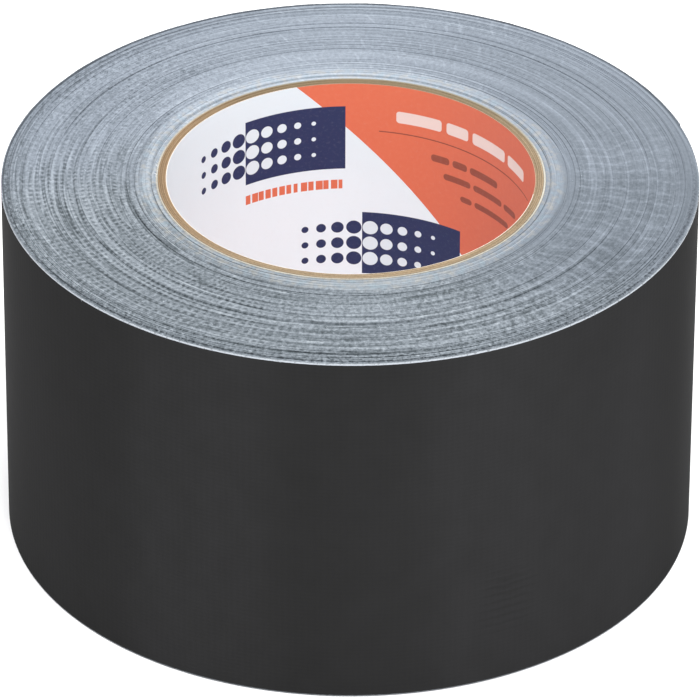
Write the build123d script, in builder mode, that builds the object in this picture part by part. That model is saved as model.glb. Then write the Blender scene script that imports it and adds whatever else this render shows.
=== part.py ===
"""Roll of cloth-backed duct tape on a spiral-wound paperboard core.

The roll stands on one end face. Origin: centre of the lower end face, on the core axis. +Z runs along the core axis.
The tape is one strip of three bonded layers (film backing outside, cloth scrim, adhesive inside) wound 155 times
round the core. All but its last turn is the solid tape_pack. The last turn and the free tail are shown layer by layer,
and the tail is cut into short segments hinged one to the next, so that it peels off and curls back as the strip does.
All sizes in millimetres.
"""
from build123d import *
import math
import os

os.makedirs("parts", exist_ok=True)

# ---------------------------------------------------------------- driving dimensions
roll_width = 80.0  # length of the core and width of the tape
core_bore_d = 76.2  # 3 inch core
ply_thickness = 0.41
ply_names = ["core_inner_ply", "core_second_ply", "core_middle_ply", "core_fourth_ply", "core_outer_ply"]
winding_angle = 45.0  # of every strip's edges, and so of its seams, from the end faces' plane
butt_seam_plies = ply_names[1:4]  # the two faces of the core are skived and glued closed, so they have no open seam
ply_seam_gap = 0.4  # open butt seam between neighbouring turns of one ply
ply_seam_turn = 72.0  # each ply's seam is turned this far from the one below it, in degrees

label_thickness = 0.12  # printed liner, the innermost strip of the core, cut flush with it
label_seam_gap = 0.2
label_seam_at = 136.8  # where its butt seam meets the lower end face, in degrees

roll_d = 144.0  # over the last turn, at its free end
film_thickness = 0.07
scrim_thickness = 0.055
adhesive_thickness = 0.08
tape_thickness = film_thickness + scrim_thickness + adhesive_thickness

free_end_at = 17.0  # direction of the tape's cut end round the axis, in degrees
tail_segments = 4
tail_segment_arc = 10.0  # degrees, about 12.6 mm of tape
tail_gap = 0.02  # slack left under the loose tail

# ---------------------------------------------------------------- derived
core_bore_r = core_bore_d / 2
core_r = core_bore_r + len(ply_names) * ply_thickness
winding_pitch = math.pi * core_bore_d * math.tan(math.radians(winding_angle))
roll_r = roll_d / 2
tail_arc = tail_segments * tail_segment_arc

# Four-centre spiral: each quarter turn is an arc whose radius is smaller by `grow` than the one before it, and whose
# centre is a corner of a square of side `grow`. It loses one tape thickness per turn, and offsets of it stay true arcs.
grow = tape_thickness / 4
centres = [Vector(grow / 2, -grow / 2).rotate(Axis.Z, free_end_at) * -1]
for q in range(1, 4):
    turned = math.radians(free_end_at + 90 * q)
    centres.append(centres[-1] + Vector(math.cos(turned), math.sin(turned)) * grow)


def spiral_pieces(start, stop, inset):
    """(centre, radius, first angle, swept angle) of the arcs from start to stop, degrees of tape back from its free end."""
    pieces, at = [], start
    while at < stop - 1e-9:
        q = int((at + 1e-9) // 90)
        upto = min(stop, 90 * (q + 1))
        pieces.append((centres[q % 4], roll_r - grow * q - inset, free_end_at + at, upto - at))
        at = upto
    return pieces


def strip_wire(start, stop, top, under):
    """Closed outline, seen along the axis, of the tape between two depths below its outer face."""
    outside = spiral_pieces(start, stop, top)
    inside = spiral_pieces(start, stop, under)
    for centre, radius, first, swept in outside:
        CenterArc((centre.X, centre.Y), radius, first, swept)
    for centre, radius, first, swept in inside:
        CenterArc((centre.X, centre.Y), radius, first, swept)
    ends = []
    for (centre, radius, first, swept), angle in (
        (outside[0], outside[0][2]),
        (inside[0], inside[0][2]),
        (outside[-1], outside[-1][2] + outside[-1][3]),
        (inside[-1], inside[-1][2] + inside[-1][3]),
    ):
        a = math.radians(angle)
        ends.append((centre.X + radius * math.cos(a), centre.Y + radius * math.sin(a)))
    Line(ends[0], ends[1])
    Line(ends[2], ends[3])


# ---------------------------------------------------------------- core: five spiral-wound paperboard plies
# Each ply is a strip wound at one angle, so a butt seam between its turns is a helix: a third of a turn on a core this short.
for i, name in enumerate(ply_names):
    ply_r = core_bore_r + i * ply_thickness
    with BuildPart() as ply:
        with BuildSketch():
            Circle(ply_r + ply_thickness)
            Circle(ply_r, mode=Mode.SUBTRACT)
        extrude(amount=roll_width)
        if name in butt_seam_plies:
            with BuildLine(Plane.XY.rotated((0, 0, i * ply_seam_turn))) as seam:
                Helix(winding_pitch, roll_width + 8, ply_r + ply_thickness / 2, center=(0, 0, -4))
            start, along = seam.line @ 0, seam.line % 0
            with BuildSketch(Plane(origin=start, x_dir=(start.X, start.Y, 0), z_dir=along)):
                Rectangle(3 * ply_thickness, ply_seam_gap)
            sweep(path=seam.line, is_frenet=True, mode=Mode.SUBTRACT)
    ply.part.label = name
    export_step(ply.part, f"parts/{name}.step")

# ---------------------------------------------------------------- printed paper liner, wound as the core's innermost strip
seam_foot = label_seam_at - 360 * 4 / winding_pitch  # the seam's helix starts 4 mm below the lower end face
with BuildPart() as core_label:
    with BuildSketch():
        Circle(core_bore_r)
        Circle(core_bore_r - label_thickness, mode=Mode.SUBTRACT)
    extrude(amount=roll_width)
    with BuildLine(Plane.XY.rotated((0, 0, seam_foot))) as label_seam:
        Helix(winding_pitch, roll_width + 8, core_bore_r - label_thickness / 2, center=(0, 0, -4))
    start, along = label_seam.line @ 0, label_seam.line % 0
    with BuildSketch(Plane(origin=start, x_dir=(start.X, start.Y, 0), z_dir=along)):
        Rectangle(4 * label_thickness, label_seam_gap)
    sweep(path=label_seam.line, is_frenet=True, mode=Mode.SUBTRACT)
core_label.part.label = "core_label"
export_step(core_label.part, "parts/core_label.step")

# ---------------------------------------------------------------- wound tape, every turn but the last
with BuildPart() as tape_pack:
    with BuildSketch():
        with BuildLine():
            turns = spiral_pieces(360, 720, 0)
            for centre, radius, first, swept in turns:
                CenterArc((centre.X, centre.Y), radius, first, swept)
            step_a = math.radians(free_end_at)
            step_c = centres[0]
            outer_r = turns[0][1]
            last_c, last_r = turns[-1][0], turns[-1][1]
            Line(
                (step_c.X + outer_r * math.cos(step_a), step_c.Y + outer_r * math.sin(step_a)),
                (last_c.X + last_r * math.cos(step_a), last_c.Y + last_r * math.sin(step_a)),
            )
        make_face()
        Circle(core_r, mode=Mode.SUBTRACT)
    extrude(amount=roll_width)
tape_pack.part.label = "tape_pack"
export_step(tape_pack.part, "parts/tape_pack.step")

# ---------------------------------------------------------------- last turn, layer by layer, up to the peelable tail
layers = [
    ("film", 0.0, film_thickness),
    ("scrim", film_thickness, film_thickness + scrim_thickness),
    ("adhesive", film_thickness + scrim_thickness, tape_thickness),
]
for layer, top, under in layers:
    with BuildPart() as last_turn:
        with BuildSketch():
            with BuildLine():
                strip_wire(tail_arc, 360, top, under)
            make_face()
        extrude(amount=roll_width)
    last_turn.part.label = f"last_turn_{layer}"
    export_step(last_turn.part, f"parts/last_turn_{layer}.step")

# ---------------------------------------------------------------- free tail: segment 1 is next to the last turn, the last one ends at the cut
for n in range(tail_segments):
    start = tail_arc - (n + 1) * tail_segment_arc
    for layer, top, under in layers:
        slack = tail_gap if layer == "adhesive" else 0.0
        with BuildPart() as tail:
            with BuildSketch():
                with BuildLine():
                    strip_wire(start, start + tail_segment_arc, top, under - slack)
                make_face()
            extrude(amount=roll_width)
        tail.part.label = f"tail_{n + 1}_{layer}"
        export_step(tail.part, f"parts/tail_{n + 1}_{layer}.step")

# Each tail segment turns outwards about a vertical line on the tape's outer face, at the end nearer the roll.
for n in range(tail_segments):
    a = math.radians(free_end_at + tail_arc - n * tail_segment_arc)
    print(f"tail hinge {n + 1}: x {centres[0].X + roll_r * math.cos(a):.4f} y {centres[0].Y + roll_r * math.sin(a):.4f}")
print(f"core outer radius {core_r:.3f}, turns {(roll_r - core_r) / tape_thickness:.1f}, "
      f"tape length {math.pi * (roll_r**2 - core_r**2) / tape_thickness / 1000:.1f} m")
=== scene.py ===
import math

import bpy
import numpy as np
from mathutils import Matrix, Vector


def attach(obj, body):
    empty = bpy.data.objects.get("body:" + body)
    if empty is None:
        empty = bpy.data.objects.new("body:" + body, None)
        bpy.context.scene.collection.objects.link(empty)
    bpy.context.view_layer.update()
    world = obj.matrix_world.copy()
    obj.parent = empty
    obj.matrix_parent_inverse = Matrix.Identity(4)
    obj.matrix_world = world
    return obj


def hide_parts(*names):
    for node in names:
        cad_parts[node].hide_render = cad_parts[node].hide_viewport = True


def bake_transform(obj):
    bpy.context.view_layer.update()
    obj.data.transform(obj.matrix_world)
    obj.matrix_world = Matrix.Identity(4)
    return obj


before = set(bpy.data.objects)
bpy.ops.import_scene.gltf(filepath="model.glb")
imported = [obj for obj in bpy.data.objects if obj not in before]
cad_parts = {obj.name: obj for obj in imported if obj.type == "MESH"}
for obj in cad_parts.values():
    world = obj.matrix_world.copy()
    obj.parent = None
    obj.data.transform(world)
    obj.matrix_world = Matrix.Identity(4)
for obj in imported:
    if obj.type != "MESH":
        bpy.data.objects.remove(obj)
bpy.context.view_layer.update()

MM = 0.001
TAU = 2 * math.pi

# ------------------------------------------------------------------ sizes, in mm, as in the CAD
ROLL_R, WIDTH, TAPE = 72.0, 80.0, 0.205
FILM, SCRIM, GLUE = 0.07, 0.055, 0.08
FREE_END, SEG, NSEG = 17.0, 10.0, 4
TAIL = SEG * NSEG
BORE_R, PLY, LABEL = 38.1, 0.41, 0.12
CORE_R = BORE_R + 5 * PLY
TURNS = int((ROLL_R - CORE_R) / TAPE) - 1
GROW = TAPE / 4


def turn2(x, y, deg):
    c, s = math.cos(math.radians(deg)), math.sin(math.radians(deg))
    return np.array([c * x - s * y, s * x + c * y])


CENTRES = [-turn2(GROW / 2, -GROW / 2, FREE_END)]
for q in range(1, 4):
    CENTRES.append(CENTRES[-1] + GROW * turn2(1, 0, FREE_END + 90 * q))
CENTRES = np.array(CENTRES)


def path(a, depth=0.0):
    """Points of the winding, a degrees of tape back from its free end and depth mm under its outer face."""
    a = np.asarray(a, float)
    q = np.floor(a / 90 + 1e-9).astype(int)
    r = ROLL_R - GROW * q - depth
    t = np.radians(FREE_END + a)
    c = CENTRES[q % 4]
    return np.stack([c[..., 0] + r * np.cos(t), c[..., 1] + r * np.sin(t)], -1)


def length_of(a):
    """Tape length in mm back from the free end."""
    t = np.radians(np.asarray(a, float))
    return ROLL_R * t - TAPE * t * t / (2 * TAU)


def noise1(x, seed):
    """Smooth random curve from -1 to 1 with a knot at each whole number."""
    rng = np.random.default_rng(seed)
    knots = rng.uniform(-1, 1, 4096)
    x = np.asarray(x, float) + 1000
    i = np.floor(x).astype(int)
    f = x - i
    f = f * f * (3 - 2 * f)
    return knots[i % 4096] * (1 - f) + knots[(i + 1) % 4096] * f


def noise2(x, y, seed):
    rng = np.random.default_rng(seed)
    k = rng.uniform(-1, 1, (256, 256))
    x, y = np.asarray(x, float) + 500, np.asarray(y, float) + 500
    i, j = np.floor(x).astype(int), np.floor(y).astype(int)
    f, g = x - i, y - j
    f, g = f * f * (3 - 2 * f), g * g * (3 - 2 * g)
    a, b, c, d = k[i % 256, j % 256], k[(i + 1) % 256, j % 256], k[i % 256, (j + 1) % 256], k[(i + 1) % 256, (j + 1) % 256]
    return (a * (1 - f) + b * f) * (1 - g) + (c * (1 - f) + d * f) * g


# ------------------------------------------------------------------ shader helpers
class X:
    """A shader value that can be written as a formula."""

    def __init__(self, tree, socket):
        self.t, self.s = tree, socket

    def m(self, op, *others, clamp=False):
        n = self.t.nodes.new("ShaderNodeMath")
        n.operation, n.use_clamp = op, clamp
        for i, v in enumerate((self, *others)):
            if isinstance(v, X):
                self.t.links.new(v.s, n.inputs[i])
            else:
                n.inputs[i].default_value = float(v)
        return X(self.t, n.outputs[0])

    def __add__(self, o): return self.m("ADD", o)
    __radd__ = __add__
    def __mul__(self, o): return self.m("MULTIPLY", o)
    __rmul__ = __mul__
    def __sub__(self, o): return self.m("SUBTRACT", o)
    def __rsub__(self, o): return self.m("MULTIPLY_ADD", -1.0, o)
    def __truediv__(self, o): return self.m("DIVIDE", o)
    def __gt__(self, o): return self.m("GREATER_THAN", o)
    def __lt__(self, o): return self.m("LESS_THAN", o)
    def floor(self): return self.m("FLOOR")
    def fract(self): return self.m("FRACT")
    def abs(self): return self.m("ABSOLUTE")
    def sin(self): return self.m("SINE")
    def cos(self): return self.m("COSINE")
    def sqrt(self): return self.m("SQRT")
    def min(self, o): return self.m("MINIMUM", o)
    def max(self, o): return self.m("MAXIMUM", o)
    def pow(self, o): return self.m("POWER", o)
    def clamp(self): return self.m("ADD", 0.0, clamp=True)

    def step(self, a, b):
        """0 below a, 1 above b, smooth between."""
        n = self.t.nodes.new("ShaderNodeMapRange")
        n.interpolation_type = "SMOOTHSTEP"
        self.t.links.new(self.s, n.inputs[0])
        lo, hi, x, y = (a, b, 0.0, 1.0) if a <= b else (b, a, 1.0, 0.0)
        for i, v in zip((1, 2, 3, 4), (lo, hi, x, y)):
            n.inputs[i].default_value = v
        return X(self.t, n.outputs[0])


class Mat:
    def __init__(self, name):
        self.m = bpy.data.materials.new(name)
        self.m.use_nodes = True
        self.t = self.m.node_tree
        self.t.nodes.clear()
        self.out = self.t.nodes.new("ShaderNodeOutputMaterial")
        self.b = self.t.nodes.new("ShaderNodeBsdfPrincipled")
        self.t.links.new(self.b.outputs[0], self.out.inputs[0])

    def set(self, **kw):
        for k, v in kw.items():
            s = self.b.inputs[k.replace("_", " ")]
            if isinstance(v, X):
                self.t.links.new(v.s, s)
            elif isinstance(v, (tuple, list)):
                s.default_value = (*v, 1.0) if len(v) == 3 else v
            else:
                s.default_value = v
        return self

    def xyz(self, socket):
        n = self.t.nodes.new("ShaderNodeSeparateXYZ")
        self.t.links.new(socket, n.inputs[0])
        return [X(self.t, o) for o in n.outputs]

    def here(self):
        """Object position in mm."""
        n = self.t.nodes.new("ShaderNodeTexCoord")
        return [v * 1000.0 for v in self.xyz(n.outputs["Object"])]

    def attr(self, name="tape"):
        n = self.t.nodes.new("ShaderNodeAttribute")
        n.attribute_name = name
        return self.xyz(n.outputs["Vector"])

    def vec(self, x, y, z):
        n = self.t.nodes.new("ShaderNodeCombineXYZ")
        for i, v in enumerate((x, y, z)):
            if isinstance(v, X):
                self.t.links.new(v.s, n.inputs[i])
            else:
                n.inputs[i].default_value = float(v)
        return n.outputs[0]

    def noise(self, x, y, z, detail=2.0, rough=0.5, distort=0.0):
        n = self.t.nodes.new("ShaderNodeTexNoise")
        self.t.links.new(self.vec(x, y, z), n.inputs["Vector"])
        n.inputs["Scale"].default_value = 1.0
        n.inputs["Detail"].default_value = detail
        n.inputs["Roughness"].default_value = rough
        n.inputs["Distortion"].default_value = distort
        return X(self.t, n.outputs[0])

    def hash(self, x, seed=0.0):
        n = self.t.nodes.new("ShaderNodeTexWhiteNoise")
        n.noise_dimensions = "1D"
        self.t.links.new((x + seed).s, n.inputs["W"])
        return X(self.t, n.outputs["Value"])

    def mix(self, f, a, b):
        """Colour a where f is 0, b where it is 1. a and b are sRGB bytes or shader colours."""
        n = self.t.nodes.new("ShaderNodeMix")
        n.data_type = "RGBA"
        n.clamp_factor = True
        if isinstance(f, X):
            self.t.links.new(f.s, n.inputs[0])
        else:
            n.inputs[0].default_value = f
        for i, v in ((6, a), (7, b)):
            if isinstance(v, X):
                self.t.links.new(v.s, n.inputs[i])
            else:
                n.inputs[i].default_value = (*lin(v), 1)
        return X(self.t, n.outputs[2])

    def ramp(self, f, stops):
        n = self.t.nodes.new("ShaderNodeValToRGB")
        self.t.links.new(f.s, n.inputs[0])
        e = n.color_ramp.elements
        while len(e) < len(stops):
            e.new(0.5)
        for el, (p, c) in zip(e, stops):
            el.position, el.color = p, (*lin(c), 1)
        return X(self.t, n.outputs[0])

    def bump(self, height, distance_mm, strength=1.0, normal=None):
        n = self.t.nodes.new("ShaderNodeBump")
        n.inputs["Strength"].default_value = strength
        n.inputs["Distance"].default_value = distance_mm * MM
        self.t.links.new(height.s, n.inputs["Height"])
        if normal is not None:
            self.t.links.new(normal.s, n.inputs["Normal"])
        return X(self.t, n.outputs[0])


def lin(c):
    """sRGB bytes to linear."""
    return tuple((v / 255 / 12.92) if v / 255 <= 0.04045 else ((v / 255 + 0.055) / 1.055) ** 2.4 for v in c)


# ------------------------------------------------------------------ materials
SHADE = [(42, 48, 55), (75, 82, 89), (115, 122.4, 132), (148.5, 156.4, 166), (190, 197, 204)]
SHADE_COARSE = [(42, 48, 53), (76, 83, 88), (117, 124, 131), (151, 158, 164), (193, 199, 203)]


def face_material():
    """Wound end face: spiral turns of film, cloth and adhesive, with the net left by the cut yarn ends."""
    M = Mat("wound_tape_end")
    x, y, z = M.here()
    r = (x * x + y * y).sqrt()
    th = y.m("ARCTAN2", x)
    a = ((th - math.radians(FREE_END)) / TAU).fract()  # along one turn, 0 to 1
    n_cont = (r - CORE_R) / TAPE + a
    n = n_cont.floor()  # which turn
    f = n_cont - n  # depth in that turn, 0 inside, 1 outside
    cx, cy = (a * TAU).cos(), (a * TAU).sin()
    # angle measured so that its jump falls at 68 degrees, where no net shows
    cut = math.radians(68)
    px, py = x * math.cos(cut) + y * math.sin(cut), y * math.cos(cut) - x * math.sin(cut)
    phi = (py * -1.0).m("ARCTAN2", px * -1.0)
    arc = phi * 56.0

    def toward(deg):
        return (th - math.radians(deg)).cos()

    patch = M.noise(cx * 1.9, cy * 1.9, r * 0.07, 2.0) - 0.5
    patch2 = M.noise(cx * 3.1, cy * 3.1, r * 0.16 + 20.0, 2.0) - 0.5
    coarse = (toward(245) + patch * 0.7).step(0.0, 0.68)
    netted = (toward(214) + patch2 * 0.6).step(0.52, 1.0) * r.step(43.0, 50.0) * r.step(71.0, 65.0)
    cells = (toward(-24) + patch * 0.4).step(0.50, 0.95) * r.step(45.0, 48.0) * r.step(70.0, 66.0)
    hoops = (toward(20) + patch * 0.4).step(0.45, 0.90) * r.step(45.0, 48.0) * r.step(70.0, 66.0)
    hairs = (toward(84) + patch * 0.6).step(0.55, 0.95)
    lines_l = (toward(178) + patch2 * 0.5).step(0.30, 0.95)
    still = toward(-5).step(0.15, 0.75)
    rear = toward(95).step(0.25, 0.85)

    # rings: broad bands, middling bands, thin dark and thin pale lines
    band = M.noise(cx * 0.55, cy * 0.55, r * 0.33, 2.0, 0.6) - 0.5
    band2 = M.noise(cx * 1.1, cy * 1.1, r * 1.05 + 30.0, 2.0, 0.6) - 0.5
    thin = (M.noise(cx * 1.0, cy * 1.0, r * 0.62 + 60.0, 1.0, 0.5) - 0.5).abs()
    thin2 = (M.noise(cx * 1.5, cy * 1.5, r * 1.15 + 90.0, 1.0, 0.5) - 0.5).abs()
    pale = (M.noise(cx * 0.7, cy * 0.7, r * 0.36 + 140.0, 1.0, 0.4) - 0.5).abs()
    show = M.noise(cx * 2.4, cy * 2.4, r * 0.5 + 170.0, 1.0)
    dark_line = thin.step(0.034, 0.010) * show.step(0.36, 0.56)
    dark_fine = thin2.step(0.075, 0.02) * show.step(0.62, 0.40)
    pale_line = pale.step(0.024, 0.008) * show.step(0.34, 0.52)
    # net: rows and columns about 1.4 mm apart
    row = r / 1.36 + patch2 * 1.2 + (M.noise(arc * 0.16, r * 0.30, 13.0, 1.0) - 0.5) * 0.7
    col_ = arc / 1.50 + (M.noise(cx * 2.2, cy * 2.2, r * 0.13 + 9.0, 1.0) - 0.5) * 2.6 + M.hash(row.floor(), 5.0) * 0.14
    rw, cw = (row * TAU).sin(), (col_ * TAU).sin()
    torn = M.noise(arc * 0.26, r * 0.34, 15.0, 2.0, 0.55)
    net = (rw.max(cw) - 0.42) * (torn.step(0.30, 0.56) * 0.85 + 0.15)
    # larger cells bounded by pale lines
    crow = r / 3.7 + patch * 0.35 + patch2 * 0.30 + (M.noise(r * 0.42, 4.0, 2.0, 1.0) - 0.5) * 1.9
    ccol = arc / 3.7 + (M.noise(cx * 1.8, cy * 1.8, r * 0.10 + 50.0, 1.0) - 0.5) * 2.4 + M.hash(crow.floor(), 8.0) * 0.52 + patch2 * 0.4
    cross = (ccol.fract() - 0.5).abs().step(0.21, 0.02) * (torn.step(0.22, 0.58) * 0.85 + 0.15)
    hoop = (crow.fract() - 0.5).abs().step(0.15, 0.02) * (torn.step(0.20, 0.55) * 0.6 + 0.4)
    pane = M.hash(crow.floor() * 7.0 + ccol.floor(), 21.0) - 0.5
    # grain: cut fibres and holes
    grit = M.noise(arc * 1.05, r * 0.80, 3.0, 3.0, 0.62, 0.4) - 0.5
    grit2 = M.noise(x * 1.40, y * 1.25, 11.0, 2.0, 0.6, 0.5) - 0.5
    fine = M.noise(x * 5.0, y * 5.0, z * 5.0, 2.0, 0.6) - 0.5
    speck = M.noise(arc * 1.9, r * 1.55, 41.0, 2.0, 0.6, 0.3)
    pits, salt = speck.step(0.46, 0.34), speck.step(0.58, 0.70)
    rough_rim = (r + patch2 * 2.0).step(65.0, 70.0) * toward(262).step(-0.05, 0.45)
    crinkle = (M.noise(arc * 0.55, r * 0.75, 51.0, 3.0, 0.6, 0.8) - 0.5).abs().step(0.030, 0.004)
    # short pale hairs lying across the back
    hu, hw = arc * 0.93 - r * 0.37, arc * 0.37 + r * 0.93
    hair = M.noise(hu * 0.85, hw * 0.20, 5.0, 1.0).step(0.60, 0.74)
    core_band = (r + patch2 * 2.0).step(CORE_R + 4.6, CORE_R + 2.8)
    calm = 1.0 - core_band * 0.75
    mess = coarse * calm
    turn = M.hash(n, 3.0) - 0.5
    swell = ((r + patch2 * 1.5 + band * 2.2) * (TAU / 2.75)).sin()
    v = (
        0.486
        # The toward() terms on these lines lighten the back-left and darken the right, the left and some patches near
        # the rim: painted light and shade round the ring, partly the face's own tone.
        + toward(132) * 0.053
        - toward(0) * toward(0) * 0.050
        + band * (0.19 - still * 0.09 - rear * 0.10 - netted * 0.04 - lines_l * 0.09)
        + band2 * (0.13 - still * 0.03 - rear * 0.08 + mess * (0.27 - netted * 0.12))
        + mess * swell * (0.060 - netted * 0.03)
        + toward(292).step(0.80, 1.0) * 0.030 - toward(228).step(0.80, 1.0) * r.step(70.0, 64.0) * 0.052 - toward(48).step(0.75, 1.0) * 0.022
        - toward(-32).step(0.78, 0.98) * 0.040 + (1.0 - core_band) * r.step(49.5, 44.5) * toward(-8).step(0.25, 0.8) * 0.04
        + turn * (0.04 - rear * 0.02)
        - dark_line * (0.085 - still * 0.065 - rear * 0.030 + mess * 0.10)
        - dark_fine * (0.03 - still * 0.02 - rear * 0.01 + mess * 0.03 + lines_l * (0.08 - netted * 0.05))
        + pale_line * (0.11 - still * 0.03 - rear * 0.055 - lines_l * 0.03)
        + mess * (grit * 0.66 + grit2 * 0.53) * (1.0 - netted * 0.3) - mess * 0.016
        + mess * (salt * 0.070 - pits * 0.055)
        + rough_rim * (salt * 0.10 - pits * 0.16)
        # These lines lighten the inner back and the outer back-right and darken patches at the front: more painted
        # light and shade by direction, partly the face's own tone.
        + r.step(53.0, 46.0) * toward(105).step(0.35, 0.85) * (1.0 - core_band * 0.5) * 0.10
        + r.step(64.0, 68.5) * toward(60).step(0.60, 0.95) * 0.07
        - (r - 47.8 + patch2).abs().step(3.6, 1.2) * toward(282).step(0.78, 0.98) * 0.080
        - r.step(64.5, 67.5) * toward(272).step(0.80, 0.98) * 0.040
        - (lines_l * 0.13 + rear * 0.05) * (1.0 - netted) * calm * crinkle
        + (1.0 - mess) * (grit * 0.10 + grit2 * 0.10 + (lines_l * 1.2 + rear * 0.6) * (grit + grit2) * 0.20)
        + netted * calm * (net * 0.150 + 0.010)
        + cells * (cross * 0.082 + pane * 0.055 - 0.018 + (grit + grit2) * 0.13)
        + hoops * (hoop * 0.082 - 0.012)
        + hairs * hair * 0.085
        + core_band * 0.13
        + fine * 0.10
    )
    col = M.mix(coarse, *(M.ramp(v, [(i / 4, c) for i, c in enumerate(shade)]) for shade in (SHADE, SHADE_COARSE)))
    film_edge = f.step(0.72, 0.82)
    col = M.mix(film_edge * 0.12, col, (52, 56, 62))
    hue = M.noise(x * 0.55, y * 0.55, 70.0, 2.0)
    col = M.mix(hue.step(0.47, 0.66) * core_band * 0.30, col, (158, 152, 138))
    col = M.mix(hue.step(0.49, 0.32) * core_band * 0.22, col, (126, 150, 160))
    # A dark line along the outer edge at the back of the face: painted shade.
    back_rim_shade = (r + patch2 * 0.25).step(ROLL_R - 0.72, ROLL_R - 0.50) * toward(105).step(-0.3, 0.3)
    inner = (r + patch2 * 0.8 - (ROLL_R - 1.75)).abs().step(0.28, 0.06) * toward(140).step(0.2, 0.8)
    under = (r + patch2 * 0.9 - (ROLL_R - 1.15)).abs().step(0.80, 0.15) * toward(268).step(-0.35, 0.25)
    col = M.mix((back_rim_shade * 0.82).max(inner * 0.42).max(under * (0.10 + speck.step(0.58, 0.37) * 0.55)), col, (40, 45, 52))
    M.set(Base_Color=col, Roughness=0.66, IOR=1.45)
    M.b.inputs["Specular IOR Level"].default_value = 0.2
    h = v * 0.75 + f.step(0.0, 0.2) * 0.05 - film_edge * 0.05
    M.set(Normal=M.bump(h, 0.13, 0.36))
    return M.m


def film_material():
    """Polyethylene film backing: near-black, satin, with the cloth's grid showing through a little."""
    M = Mat("tape_film")
    L, z, d = M.attr()
    drift = M.noise(L * 0.035, z * 0.006, 0.0, 2.0, 0.5)
    cloud = M.noise(L * 0.15, z * 0.12, 3.0, 3.0, 0.55)
    gx = (L * (TAU / 1.32) + M.noise(L * 0.2, z * 0.05, 1.0, 1.0) * 5.0).sin()
    gz = (z * (TAU / 0.92) + M.noise(L * 0.04, z * 0.15, 5.0, 1.0) * 4.0).sin()
    grain = M.noise(L * 3.1, z * 3.1, 2.0, 3.0, 0.65)
    wrinkle = M.noise(L * 0.09, z * 0.55 + L * 0.06, 8.0, 2.0, 0.5)
    # broad upright bands, as the film settles over the turns below
    at = [float(length_of(q)) for q in (216, 241, 266, 313)]
    sway = (M.noise(z * 0.03, 0.0, 12.0, 1.0) - 0.5) * 7.0
    Ls = L + sway
    broad = Ls.step(at[0] - 6, at[0] + 6) * Ls.step(at[1] + 7, at[1] - 7) * 0.85 + Ls.step(at[2] - 9, at[2] + 9) * Ls.step(at[3] + 14, at[3] - 8)
    # a patch of short ripples low on the wall
    lr = float(length_of(280))
    zone = Ls.step(lr - 9, lr - 3) * Ls.step(lr + 8, lr + 2) * z.step(9, 15) * z.step(29, 23)
    ripple = (z * (TAU / 1.8) + M.noise(L * 0.3, z * 0.2, 4.0, 1.0) * 5.0).sin() * zone
    v = (drift - 0.5) * 0.5 + (cloud - 0.5) * 0.35 + (grain - 0.5) * 0.32 + (gx + gz) * 0.035 + broad * 0.34 + ripple * 0.09 + 0.34
    col = M.ramp(v, [(0.0, (34.5, 34.5, 34.5)), (0.5, (40.5, 40.5, 40.9)), (1.0, (47, 47, 48))])
    rag = M.noise(L * 1.1, z * 0.6, 6.0, 3.0, 0.7)
    outside = d.step(0.02, 0.004)
    # A pale band along the top cut edge: partly painted highlight, partly the pale cut edge itself. The bottom cut edge
    # gets a fainter band.
    edge = (z - (rag - 0.5) * 0.30).step(WIDTH - 0.36, WIDTH - 0.26) * (rag.step(0.30, 0.50) * 0.6 + 0.4) * 0.95 * outside
    edge = edge.max((z + (rag - 0.5) * 0.3).step(0.22, 0.12) * 0.3)
    col = M.mix(edge, col, (182, 188, 195))
    M.set(Base_Color=col, Roughness=(grain - 0.5) * 0.10 + (cloud - 0.5) * 0.10 + 0.56, IOR=1.5)
    M.b.inputs["Specular IOR Level"].default_value = 0.004
    h = gx * 0.18 + gz * 0.22 + grain * 0.35 + wrinkle * 1.6 + ripple * 0.8
    M.set(Normal=M.bump(h, 0.035, 0.6))
    return M.m


def scrim_material():
    """Cloth layer: pale yarns in a plain weave."""
    M = Mat("tape_scrim")
    L, z, d = M.attr()
    wob = M.noise(L * 0.5, z * 0.5, 0.0, 2.0) * 1.6
    gx = (L * (TAU / 1.3) + wob).sin()
    gz = (z * (TAU / 0.9) + wob).sin()
    yarn = gx.max(gz)
    fibre = M.noise(L * 7.0, z * 7.0, d * 7.0, 3.0, 0.7)
    col = M.ramp(yarn * 0.35 + 0.35 + (fibre - 0.5) * 0.6, [(0.0, (92, 102, 112)), (0.5, (158, 168, 178)), (1.0, (226, 231, 236))])
    col = M.mix(z.step(WIDTH - 0.20, WIDTH - 0.05) * (0.45 + (fibre - 0.5) * 0.8), col, (58, 64, 72))
    M.set(Base_Color=col, Roughness=0.8)
    M.set(Normal=M.bump(yarn * 0.6 + fibre * 0.6, 0.05, 0.8))
    return M.m


def glue_material():
    """Adhesive: blue-grey, tacky, with the cloth's grid pressed into it."""
    M = Mat("tape_adhesive")
    L, z, d = M.attr()
    wob = M.noise(L * 0.35, z * 0.35, 0.0, 2.0) * 2.2
    gx = ((L * (TAU / 1.3) + wob).sin() * 0.5 + 0.5).pow(3.0)
    gz = ((z * (TAU / 0.9) + wob).sin() * 0.5 + 0.5).pow(3.0)
    yarn = gx.max(gz)
    cloud = M.noise(L * 0.25, z * 0.25, 4.0, 4.0, 0.6)
    fine = M.noise(L * 3.0, z * 3.0, 2.0, 3.0, 0.6)
    col = M.ramp(yarn * 0.30 + (cloud - 0.5) * 0.9 + (fine - 0.5) * 0.4 + 0.40, [(0.0, (102, 113, 124)), (0.5, (146, 157, 168)), (1.0, (198, 206, 214))])
    col = M.mix(z.step(WIDTH - 0.25, WIDTH - 0.10) * 0.5, col, (58, 64, 72))
    M.set(Base_Color=col, Roughness=(cloud - 0.5) * 0.3 + 0.38)
    M.set(Normal=M.bump(yarn * 0.8 + fine * 0.5, 0.05, 0.7))
    return M.m


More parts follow.
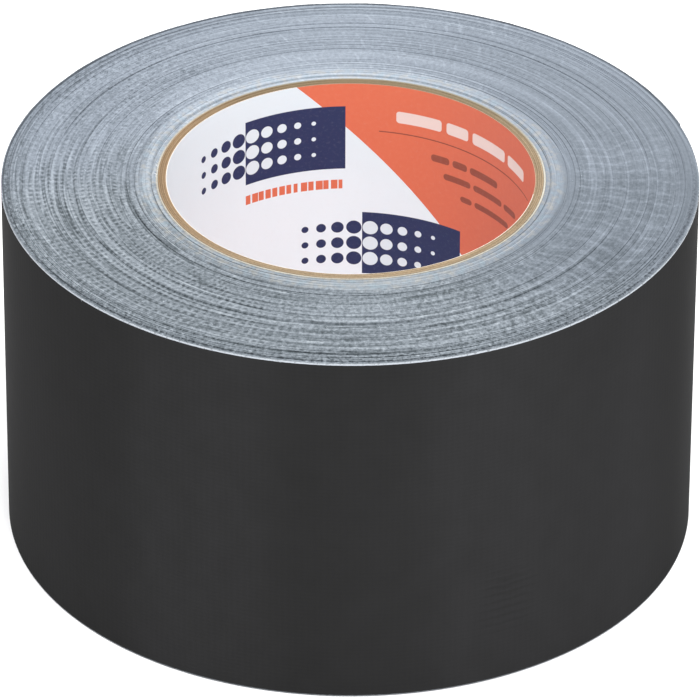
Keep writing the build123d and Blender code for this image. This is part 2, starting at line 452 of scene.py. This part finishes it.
def board_material(k):
    """Kraft paperboard ply."""
    M = Mat("core_board_%d" % k)
    x, y, z = M.here()
    r = (x * x + y * y).sqrt()
    th = y.m("ARCTAN2", x)
    cx, cy = th.cos(), th.sin()
    fibre = M.noise(cx * 46.0, cy * 46.0, r * 9.0 + z * 1.2, 4.0, 0.7)
    fuzz = M.noise(x * 2.6, y * 2.6, z * 2.6, 4.0, 0.65)
    tone = M.noise(cx * 1.6, cy * 1.6, z * 0.05 + k * 3.0, 2.0)
    v = (fibre - 0.5) * 0.85 + (fuzz - 0.5) * 0.7 + (tone - 0.5) * 0.7 + 0.5
    base = [(126, 109, 86), (132, 115, 92), (124, 108, 86), (128, 112, 90), (156, 153, 143)][k]
    dark = tuple(c * 0.66 for c in base)
    lite = tuple(min(255, c * 1.22 + 6) for c in base)
    col = M.ramp(v, [(0.0, dark), (0.5, base), (1.0, lite)])
    t = ((r - BORE_R) / PLY).fract()
    glue = t.step(0.10, 0.0).max(t.step(0.90, 1.0))
    col = M.mix(glue * 0.35, col, (104, 84, 62))
    # Browner and darker towards the left, varied by the tone noise: painted shade.
    left_shade = (th - math.radians(150)).cos().step(-0.3, 0.9) * (tone * 0.5 + 0.25)
    col = M.mix(left_shade * (0.75 if k < 4 else 0.30), col, (112, 80, 48))
    # Darker towards the back: painted shade.
    back_shade = (th - math.radians(82)).cos().step(0.35, 0.92)
    col = M.mix(back_shade * (0.55, 0.50, 0.42, 0.42, 0.55)[k], col, (82, 76, 58))
    M.set(Base_Color=col, Roughness=0.85)
    M.b.inputs["Specular IOR Level"].default_value = 0.25
    M.set(Normal=M.bump(fibre * 0.7 + fuzz * 0.7, 0.09, 0.7))
    return M.m


LABEL_R = BORE_R - LABEL
ROUND = TAU * LABEL_R
NAVY, ORANGE, WHITE, INK = (48, 55, 90), (215, 111, 83), (217, 228, 234), (92, 56, 52)


def label_material():
    """Printed liner: a diagonal white band and an orange band, with a field of dots fading across a plain block, repeated down the spiral."""
    M = Mat("label_print")
    x, y, z = M.here()
    th = y.m("ARCTAN2", x)
    s = ((math.radians(125.7) - th) / TAU + 0.35).fract() * ROUND - 0.35 * ROUND  # mm to the right of the first block, as seen on the wall
    band = (78.5 - z) / 26.0
    k = band.floor()
    zl = z + k * 26.0
    sl = (((s - k * 26.1) / ROUND + 0.35).fract() - 0.35) * ROUND
    diag = s - (12.06 + (80.0 - z) * 0.994)
    diag = ((diag / ROUND).fract()) * ROUND  # 0 at the white to orange edge

    def box(u0, u1, v0, v1, u=sl, v=zl):
        return (u - u0).min(u1 - u).min(v - v0).min(v1 - v)

    def ink(d):
        return d.step(-0.04, 0.05)

    def words(u0, u1, v0, v1, pitch, seed, low=0.45, high=0.92):
        c = (sl - u0) / pitch
        i = c.floor()
        fill = M.hash(i + k * 17.0, seed) * (high - low) + low
        return box(u0, u1, v0, v1).min((fill - c.fract()) * pitch)

    orange = diag.step(-0.02, 0.05) * diag.step(78.05, 77.98)
    # The white is painted lighter and bluer lower down the bore, against the shade deeper in: painted light.
    lit_paper_white = M.mix(z.step(78.0, 44.0), WHITE, (228, 237, 242))
    # The orange is painted darker and greyer towards the right: painted shade.
    col = M.mix(orange, lit_paper_white, M.mix(th.cos().step(0.2, 1.0) * 0.6, ORANGE, (203, 110, 92)))
    dots = M.noise(s * 0.9, z * 0.9, 0.0, 2.0)
    col = M.mix(orange * dots.step(0.35, 0.8) * 0.22, col, (220, 124, 94))
    def pill(u0, u1, v0, v1):
        """Bar with rounded corners."""
        h = min(0.7, (v1 - v0) / 2)
        du = ((sl - (u0 + h)) * -1.0).max(sl - (u1 - h)).max(0.0)
        dv = ((zl - (v0 + h)) * -1.0).max(zl - (v1 - h)).max(0.0)
        return (du * du + dv * dv).sqrt() * -1.0 + h

    def bars(rows):
        out = None
        for row in rows:
            p = pill(*row)
            out = p if out is None else out.max(p)
        return ink(out)

    block = box(0.0, 22.5, 59.2, 74.5)
    # a field of dots, largest at the block's edge: dark before it, white on it
    ci = ((sl + 14.0) / 3.5).floor()
    mid = ci * 3.5 - 12.25
    rj = ((zl - 61.05) / 3.85).floor()
    dv = zl - (rj * 3.85 + 62.975)
    du = sl - mid
    dot = (1.78 - mid.abs() * 0.082) - (du * du + dv * dv).sqrt()
    field = box(-14.0, 17.5, 61.05, 72.6)
    dots_ = ink(dot.min(field))
    in_block = ink(block)
    col = M.mix(in_block.max(dots_), col, NAVY)
    col = M.mix(dots_ * in_block, col, WHITE)
    col = M.mix(ink(words(0.0, 22.6, 54.3, 56.5, 1.62, 5.0, 0.5, 0.95)), col, ORANGE)
    col = M.mix(bars([(33.3, 43.6, 71.2, 74.0), (44.8, 50.4, 71.2, 74.0), (51.6, 61.9, 71.2, 74.0), (63.1, 70.7, 71.2, 74.0)]) * 0.9, col, (230, 214, 208))
    col = M.mix(ink(box(29.6, 73.7, 68.55, 68.80)) * 0.8, col, INK)
    rows = bars([(41.2, 45.6, 63.6, 65.3), (46.4, 50.2, 63.6, 65.3), (51.0, 59.4, 63.6, 65.3),
                 (44.2, 51.2, 59.9, 61.4), (52.0, 61.0, 59.9, 61.4), (61.8, 66.7, 59.9, 61.4),
                 (48.5, 51.6, 55.9, 57.3), (52.4, 63.6, 55.9, 57.3)])
    col = M.mix(rows * 0.66, col, INK)
    paper = M.noise(s * 1.3, z * 1.3, 2.0, 4.0, 0.6)
    wave = M.noise(s * 0.08, z * 0.05, 6.0, 2.0, 0.5)
    col = M.mix(paper.step(0.5, 0.9) * 0.10, col, (200, 194, 192))
    col = M.mix(z.step(WIDTH - 0.06, WIDTH + 0.01), col, M.mix(orange * 0.85, (206, 198, 188), (150, 118, 92)))
    M.set(Base_Color=col, Roughness=(paper - 0.5) * 0.15 + 0.5)
    M.b.inputs["Specular IOR Level"].default_value = 0.12
    M.set(Normal=M.bump(paper * 0.25 + wave * 2.2, 0.05, 0.7))
    return M.m


def floor_material():
    M = Mat("floor_pale")
    x, y, z = M.here()
    n = M.noise(x * 0.02, y * 0.02, 0.0, 2.0)
    M.set(Base_Color=M.ramp(n, [(0.0, (246, 246, 247)), (1.0, (249, 249, 250))]), Roughness=0.9)
    M.b.inputs["Specular IOR Level"].default_value = 0.1
    return M.m


def fibre_material():
    M = Mat("yarn_fibre")
    x, y, z = M.here()
    n = M.noise(x * 5.0, y * 5.0, z * 5.0, 2.0)
    M.set(Base_Color=M.ramp(n, [(0.2, (176, 186, 196)), (0.8, (236, 240, 244))]), Roughness=0.75)
    return M.m


# ------------------------------------------------------------------ mesh helpers
def build(name, verts, faces, mats, face_mat=None, tape=None, sharp=35.0):
    me = bpy.data.meshes.new(name)
    me.from_pydata(np.asarray(verts, float) * MM, [], [tuple(int(i) for i in f) for f in faces])
    for m in mats:
        me.materials.append(m)
    if face_mat is not None:
        me.polygons.foreach_set("material_index", np.asarray(face_mat, np.int32))
    me.polygons.foreach_set("use_smooth", np.ones(len(me.polygons), bool))
    me.update()
    me.set_sharp_from_angle(angle=math.radians(sharp))
    if tape is not None:
        at = me.attributes.new("tape", "FLOAT_VECTOR", "POINT")
        at.data.foreach_set("vector", np.asarray(tape, np.float32).ravel())
    me.validate()
    ob = bpy.data.objects.new(name, me)
    bpy.context.scene.collection.objects.link(ob)
    return ob


# ------------------------------------------------------------------ wound pack
def edge_height(N):
    """Relief of the wound end, in mm: how far each turn's cut edge stands out, along the winding. N is turns in from the outside."""
    h = 0.055 * noise1(N / 13.0, 1) + 0.05 * noise1(N / 4.3, 2) + 0.030 * noise1(N / 0.83, 3) + 0.028 * noise1(N * 2.3, 4)
    rng = np.random.default_rng(77)
    for _ in range(30):
        n0, span, d = rng.uniform(1, TURNS), rng.uniform(0.35, 2.2), rng.choice([-1, -1, 1]) * rng.uniform(0.06, 0.16)
        w = np.clip(1 - np.abs((N - n0) / span), 0, 1)
        h = h + d * np.minimum(1, 3 * w)
    return np.clip(h - 0.03, -0.30, 0.14)


def wound_pack():
    J = 208
    M_ = TURNS
    verts, tape = [], []

    def add(xy, zz, a):
        i = len(verts)
        verts.extend(np.column_stack([xy, zz]).tolist())
        tape.extend(np.column_stack([length_of(a), zz, np.zeros(len(zz))]).tolist())
        return i

    col = np.arange(J) * 360.0 / J
    B, A, C = {}, {}, {}
    for m in range(1, M_ + 1):
        a = 360.0 * m + col
        B[m] = add(path(a, 0.006 if m > 1 else 0.0), WIDTH + edge_height(m + col / 360), a - 360)
        if m > 1:
            A[m] = add(path(a, -0.006), WIDTH + edge_height(m - 1 + col / 360), a - 360)
        C[m] = add(path(a, 0.0), 0.28 - 0.10 + 0.9 * edge_height(m * 1.0 + 300 + col / 360), a - 360)
    end = np.array([360.0 * (M_ + 1)])
    B[M_ + 1] = add(path(end, 0.006), WIDTH + edge_height(np.array([M_ + 1.0])), end)
    A[M_ + 1] = add(path(end, -0.006), WIDTH + edge_height(np.array([float(M_)])), end)
    C[M_ + 1] = add(path(end, 0.0), 0.18 + 0.9 * edge_height(np.array([M_ + 301.0])), end)
    ang = np.radians(FREE_END + col)
    circle = CORE_R * np.stack([np.cos(ang), np.sin(ang)], -1)
    top_in = add(circle, WIDTH + edge_height(M_ + col / 360) * 0.5, col)
    low_in = add(circle, 0.18 + 0 * col, col)

    def v(D, m, j):
        return D[m] + j if j < J else D[m + 1]

    faces, fm = [], []

    def put(f, mat):
        faces.append(f)
        fm.append(mat)

    for m in range(1, M_):
        for j in range(J):
            put((v(B, m, j), v(B, m, j + 1), v(A, m + 1, j + 1) if (m + 1 < M_ or j + 1 < J) else A[M_ + 1], v(A, m + 1, j)), 0)
            put((v(C, m + 1, j), v(C, m + 1, j + 1), v(C, m, j + 1), v(C, m, j)), 0)
    for m in range(2, M_ + 1):
        for j in range(J):
            an, bn = (v(A, m, j + 1), v(B, m, j + 1))
            put((v(A, m, j), an, bn, v(B, m, j)), 0)
    for j in range(J):
        jn = (j + 1) % J
        if j == 0:
            put((B[M_], B[M_] + 1, top_in + 1, top_in, B[M_ + 1], A[M_ + 1]), 0)
            put((C[M_], C[M_ + 1], low_in, low_in + 1, C[M_] + 1), 0)
        else:
            put((B[M_] + j, v(B, M_, j + 1), top_in + jn, top_in + j), 0)
            put((low_in + j, low_in + jn, v(C, M_, j + 1), C[M_] + j), 0)
        put((top_in + j, top_in + jn, low_in + jn, low_in + j), 2)
        put((C[1] + j, v(C, 1, j + 1), v(B, 1, j + 1), B[1] + j), 1)
    put((C[1], B[1], A[2], B[2], C[2]), 1)
    return verts, faces, fm, tape


film, scrim, glue = film_material(), scrim_material(), glue_material()
fibre_mat = fibre_material()
vs, fs, fm, tp = wound_pack()
pack = build("tape_pack_wound", vs, fs, [face_material(), film, glue], fm, tp, sharp=28.0)
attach(pack, "roll")
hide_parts("tape_pack")


# ------------------------------------------------------------------ last turn and tail, layer by layer
def layer(name, a0, a1, d0, d1, mat, step, rows, top, low, end_rag=None, slot=None):
    """One bonded layer of the tape between two places along it, as a closed thin solid."""
    n = max(2, int(round((a1 - a0) / step)) + 1)
    a = np.linspace(a0, a1, n)
    zs = np.linspace(0, 1, rows)
    verts, tape = [], []
    for i, ai in enumerate(a):
        L = float(length_of(ai))
        zt, zb = WIDTH + top(L), low(L)
        for dep, order in ((d0, zs), (d1, zs[::-1])):
            for k in order:
                z = zb + (zt - zb) * k
                aa = ai
                if end_rag is not None and i == 0:
                    aa = ai + end_rag(z)
                p = path(aa, dep)
                verts.append((p[0], p[1], z))
                tape.append((float(length_of(aa)), z, dep))
    ring = 2 * rows
    faces = []
    for i in range(n - 1):
        for k in range(ring):
            q, w = i * ring + k, i * ring + (k + 1) % ring
            faces.append((w, q, q + ring, w + ring))
    def cap(i, flip):
        for k in range(rows - 1):
            f = (i * ring + k, i * ring + k + 1, i * ring + ring - 2 - k, i * ring + ring - 1 - k)
            faces.append(f[::-1] if flip else f)
    cap(0, False)
    cap(n - 1, True)
    return build(name, verts, faces, [mat], None, tape, sharp=35.0)


def top_of(layer_name):
    seed, base, amp = {"film": (21, 0.055, 0.035), "scrim": (22, 0.03, 0.05), "adhesive": (23, -0.015, 0.03)}[layer_name]
    return lambda L: base + amp * float(noise1(L / 5.1, seed)) + 0.6 * amp * float(noise1(L / 1.1, seed + 50))


def low_of(layer_name):
    seed, base, amp = {"film": (31, 0.02, 0.018), "scrim": (32, 0.07, 0.03), "adhesive": (33, 0.09, 0.03)}[layer_name]
    return lambda L: base + amp * float(noise1(L / 5.3, seed))


def rag(z):
    """How far the pinked end strays along the tape, in degrees."""
    saw = abs((z / 2.1) % 1.0 - 0.5) * 2
    return 0.34 * saw + 0.12 * float(noise1(z / 6.1, 61)) + 0.07 * float(noise1(z / 0.9, 62)) + 0.20


LAYERS = [("film", 0.0, FILM, film), ("scrim", FILM, FILM + SCRIM, scrim), ("adhesive", FILM + SCRIM, TAPE, glue)]
hinge = [path(TAIL - SEG * k) for k in range(NSEG)]
mid = [path(TAIL - SEG * (k + 0.5)) for k in range(NSEG)]
for lname, d0, d1, mat in LAYERS:
    ob = layer("last_turn_%s_skin" % lname, TAIL, 360.0, d0, d1, mat, 1.6, 9, top_of(lname), low_of(lname), slot="tape_%s" % lname)
    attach(ob, "roll")
    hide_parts("last_turn_%s" % lname)
    for k in range(1, NSEG + 1):
        start = TAIL if k == 1 else TAIL - SEG * (k - 1.5)
        stop = TAIL - SEG * (k - 0.5) if k < NSEG else 0.0
        under = d1 - (0.02 if lname == "adhesive" else 0.0)
        ob = layer("tail_%d_%s_skin" % (k, lname), stop, start, d0, under, mat, 0.5, 17 if k < NSEG else 153, top_of(lname), low_of(lname),
                   end_rag=(rag if lname == "film" else (lambda q: rag(q) - 0.13)) if k == NSEG else None, slot="tape_%s" % lname)
        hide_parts("tail_%d_%s" % (k, lname))
        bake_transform(ob)


# ------------------------------------------------------------------ core plies
def ring_ply(name, k, r0, r1, mats, J=240, top=0.0, seed=0, rows=2):
    """Closed ring with a slightly uneven, eased cut edge."""
    ang = np.arange(J) * TAU / J
    s = ang / TAU * 40
    wob = lambda q, sc, am: am * np.array([noise1(np.array([x]) * sc, seed + q)[0] for x in np.where(s < 39, s, s)])
    # make the wobble meet itself after a full turn
    def loop(q, sc, am):
        c, d = np.cos(ang) * sc, np.sin(ang) * sc
        return am * noise2(c, d, seed + q)
    hz = top + loop(1, 5.0, 0.030) + loop(2, 22.0, 0.022)
    lz = 0.03 + np.abs(loop(3, 6.0, 0.02))
    e = min(0.07, (r1 - r0) * 0.2)
    prof = [
        (r1, 0.0, 0), (r1, None, 0), (r1 - e * 0.35, -0.35 * e, 1), (r1 - e, 0.0, 1),
        (r0 + e, 0.0, 1), (r0 + e * 0.35, -0.35 * e, 1), (r0, None, 0), (r0, 0.0, 0),
    ]
    verts = []
    order = []
    for j in range(J):
        c, d = math.cos(ang[j]), math.sin(ang[j])
        zt, zb = WIDTH + hz[j], lz[j]
        mids = np.linspace(zb, zt - e, rows + 1)
        ringv = [(r1, z) for z in mids] + [(r1 - 0.35 * e, zt - 0.3 * e), (r1 - e, zt), ((r0 + r1) / 2, zt + 0.012), (r0 + e, zt), (r0 + 0.35 * e, zt - 0.3 * e)] + [(r0, z) for z in mids[::-1]]
        order = ringv
        verts.extend([(r * c, r * d, z) for r, z in ringv])
    R = len(order)
    faces = []
    for j in range(J):
        jn = (j + 1) % J
        for q in range(R):
            w = (q + 1) % R
            faces.append((j * R + q, jn * R + q, jn * R + w, j * R + w))
    return build(name, verts, faces, mats, None, None, sharp=50.0)


ply_nodes = ["core_inner_ply", "core_second_ply", "core_middle_ply", "core_fourth_ply", "core_outer_ply"]
for k, node in enumerate(ply_nodes):
    top = [0.10, 0.13, 0.09, 0.14, 0.08][k]
    gap = 0.012
    ob = ring_ply(node + "_board", k, BORE_R + k * PLY + (gap if k else 0.0), BORE_R + (k + 1) * PLY - (gap if k < 4 else 0.0), [board_material(k)], top=top, seed=100 + 10 * k)
    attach(ob, "roll")
    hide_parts(node)

label_mat = label_material()


def liner():
    """The printed strip, with its helical butt seam."""
    J, rows = 300, 61
    seam0 = 136.8
    half = 0.1 * math.sqrt(2) / LABEL_R
    verts = []
    zs = np.linspace(0.03, WIDTH + 0.04, rows)
    ring_n = 0
    for i, z in enumerate(zs):
        a0 = math.radians(seam0) + z / BORE_R + half
        ang = a0 + np.linspace(0, TAU - 2 * half, J)
        for r in (LABEL_R, BORE_R - 0.004):
            wob = 0.018 * noise2(np.cos(ang) * 4, np.sin(ang) * 4 + z * 0.06, 301) if r == LABEL_R else 0
            rr = r + wob
            verts.extend(np.column_stack([rr * np.cos(ang), rr * np.sin(ang), np.full(J, z)]).tolist())
    def v(i, side, j):
        return (i * 2 + side) * J + j
    faces = []
    for i in range(rows - 1):
        for j in range(J - 1):
            faces.append((v(i, 0, j + 1), v(i, 0, j), v(i + 1, 0, j), v(i + 1, 0, j + 1)))
            faces.append((v(i, 1, j), v(i, 1, j + 1), v(i + 1, 1, j + 1), v(i + 1, 1, j)))
        faces.append((v(i, 0, 0), v(i, 1, 0), v(i + 1, 1, 0), v(i + 1, 0, 0)))
        faces.append((v(i, 1, J - 1), v(i, 0, J - 1), v(i + 1, 0, J - 1), v(i + 1, 1, J - 1)))
    for j in range(J - 1):
        faces.append((v(0, 0, j), v(0, 0, j + 1), v(0, 1, j + 1), v(0, 1, j)))
        faces.append((v(rows - 1, 0, j + 1), v(rows - 1, 0, j), v(rows - 1, 1, j), v(rows - 1, 1, j + 1)))
    return build("core_label_print", verts, faces, [label_mat], None, None, sharp=40.0)


lab = liner()
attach(lab, "roll")
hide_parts("core_label")


# ------------------------------------------------------------------ loose yarn fibres along the cut edges
def fibres(name, count, seed, zone, mat):
    rng = np.random.default_rng(seed)
    verts, faces = [], []
    for _ in range(count):
        p, d0, ln, rad, *flat = zone(rng)
        d = np.array(d0, float)
        d /= np.linalg.norm(d)
        bend = rng.normal(0, 0.55, 3)
        seg = 5
        pts = [np.array(p, float)]
        for q in range(seg):
            d = d + bend * 0.35 / seg * 2 + rng.normal(0, 0.10, 3)
            if flat:
                d = d - flat[0] * (d @ flat[0])
            d /= np.linalg.norm(d)
            pts.append(pts[-1] + d * ln / seg)
        base = len(verts)
        for q, c in enumerate(pts):
            t = pts[min(q + 1, seg)] - pts[max(q - 1, 0)]
            t /= np.linalg.norm(t)
            u = np.cross(t, (0.3, 0.2, 0.93))
            u /= np.linalg.norm(u)
            w = np.cross(t, u)
            rr = rad * (1 - 0.6 * q / seg)
            for k in range(5):
                g = TAU * k / 5
                verts.append(tuple(c + rr * (math.cos(g) * u + math.sin(g) * w)))
        for q in range(seg):
            for k in range(5):
                a, b = base + q * 5 + k, base + q * 5 + (k + 1) % 5
                faces.append((a, b, b + 5, a + 5))
        faces.append(tuple(base + k for k in range(4, -1, -1)))
        faces.append(tuple(base + seg * 5 + k for k in range(5)))
    ob = build(name, verts, faces, [mat], None, None, sharp=60.0)
    return ob


def rim_zone(top):
    def zone(rng):
        while True:
            a = rng.uniform(TAIL + 3, 358)
            break
        p = path(a, rng.uniform(0.03, 0.18))
        t = math.radians(FREE_END + a)
        out = np.array([math.cos(t), math.sin(t), 0.0])
        tang = np.array([-math.sin(t), math.cos(t), 0.0]) * rng.choice([-1, 1])
        up = 1.0 if top else -1.0
        d = out * rng.uniform(0.0, 0.6) + tang * rng.uniform(0.4, 1.2) + np.array([0, 0, up * rng.uniform(0.02, 0.3)])
        z = WIDTH + 0.02 if top else 0.1
        return (p[0], p[1], z), d, rng.uniform(0.25, 0.95), rng.uniform(0.014, 0.026)
    return zone


def face_zone(rng):
    r = rng.uniform(CORE_R + 0.6, ROLL_R - 0.6)
    t = rng.uniform(0, TAU)
    tang = np.array([-math.sin(t), math.cos(t), 0.0]) * rng.choice([-1, 1])
    out = np.array([math.cos(t), math.sin(t), 0.0])
    d = tang * rng.uniform(0.3, 1.0) + out * rng.uniform(-0.5, 0.5) + np.array([0, 0, rng.uniform(0.15, 0.6)])
    return (r * math.cos(t), r * math.sin(t), WIDTH - 0.06), d, rng.uniform(0.15, 0.55), rng.uniform(0.012, 0.022)


def free_end_zone(rng):
    z = rng.uniform(1.0, WIDTH - 1.0)
    p = path(rag(z) - 0.10, 0.10)
    t = math.radians(FREE_END)
    out = np.array([math.cos(t), math.sin(t), 0.0])
    back = np.array([math.sin(t), -math.cos(t), 0.0])
    d = back + np.array([0, 0, rng.normal(0, 0.35)])
    return (p[0], p[1], z), d, rng.uniform(0.25, 1.25), rng.uniform(0.022, 0.034), out


def core_fray_zone(rng):
    t = math.radians(rng.normal(177.0, 3.0))
    out = np.array([math.cos(t), math.sin(t), 0.0])
    tang = np.array([-math.sin(t), math.cos(t), 0.0]) * rng.choice([-1, 1])
    rr = CORE_R - rng.uniform(0.0, 0.25)
    d = out * rng.uniform(-0.2, 0.7) + tang * rng.uniform(0.2, 1.0) + np.array([0, 0, rng.uniform(0.3, 1.0)])
    return (rr * out[0], rr * out[1], WIDTH + 0.03), d, rng.uniform(0.25, 0.85), rng.uniform(0.02, 0.04)


for nm, cnt, seed, zone, body in (
    ("edge_fibres_upper", 150, 5, rim_zone(True), "roll"),
    ("face_fibres_upper", 260, 7, face_zone, "roll"),
    ("core_fray", 34, 9, core_fray_zone, "roll"),
    ("free_end_threads", 46, 11, free_end_zone, "tail_%d" % NSEG),
):
    ob = fibres(nm, cnt, seed, zone, fibre_mat)
    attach(ob, body)


# ------------------------------------------------------------------ stage, light, camera
bpy.ops.mesh.primitive_plane_add(size=6.0, location=(0, 0, -0.0002))
floor = bpy.context.object
floor.name = "floor"
floor.data.materials.append(floor_material())

world = bpy.data.worlds.new("studio")
bpy.context.scene.world = world
world.use_nodes = True
bg = world.node_tree.nodes["Background"]
bg.inputs[0].default_value = (1.0, 1.0, 1.0, 1.0)
bg.inputs[1].default_value = 1.0


def area(name, loc, target, size, watts, color=(1, 1, 1)):
    li = bpy.data.lights.new(name, "AREA")
    li.shape, li.size, li.size_y, li.energy, li.color = "RECTANGLE", size[0], size[1], watts, color
    ob = bpy.data.objects.new(name, li)
    ob.location = loc
    ob.rotation_euler = (Vector(target) - Vector(loc)).to_track_quat("-Z", "Y").to_euler()
    bpy.context.scene.collection.objects.link(ob)
    return ob


area("key", (0.20, -0.68, 1.44), (0, 0, 0.05), (0.7, 0.7), 22.0)
area("back", (-0.03, 0.14, 0.36), (0, 0.02, 0.08), (0.5, 0.2), 0.9)

FOCAL_PX, ELEV, DIST, ROLL = 7500.0, 32.40, 1566.9, -0.24
e, ro = math.radians(ELEV), math.radians(ROLL)
fwd = Vector((0, math.cos(e), -math.sin(e)))
right, up = Vector((1, 0, 0)), Vector((0, math.sin(e), math.cos(e)))
r2 = right * math.cos(ro) - up * math.sin(ro)
u2 = right * math.sin(ro) + up * math.cos(ro)
target = Vector((-0.02, 0.0, 37.80))
place = (target - fwd * DIST) * MM
cam = bpy.data.cameras.new("camera")
cam.sensor_width, cam.lens = 36.0, FOCAL_PX * 36 / 700
cam.clip_start, cam.clip_end = 0.05, 20
camera = bpy.data.objects.new("camera", cam)
camera.matrix_world = Matrix(((r2.x, u2.x, -fwd.x, place.x), (r2.y, u2.y, -fwd.y, place.y), (r2.z, u2.z, -fwd.z, place.z), (0, 0, 0, 1)))
bpy.context.scene.collection.objects.link(camera)
bpy.context.scene.camera = camera

view = bpy.context.scene.view_settings
view.view_transform, view.look, view.exposure, view.gamma = "Standard", "None", 0.0, 1.0
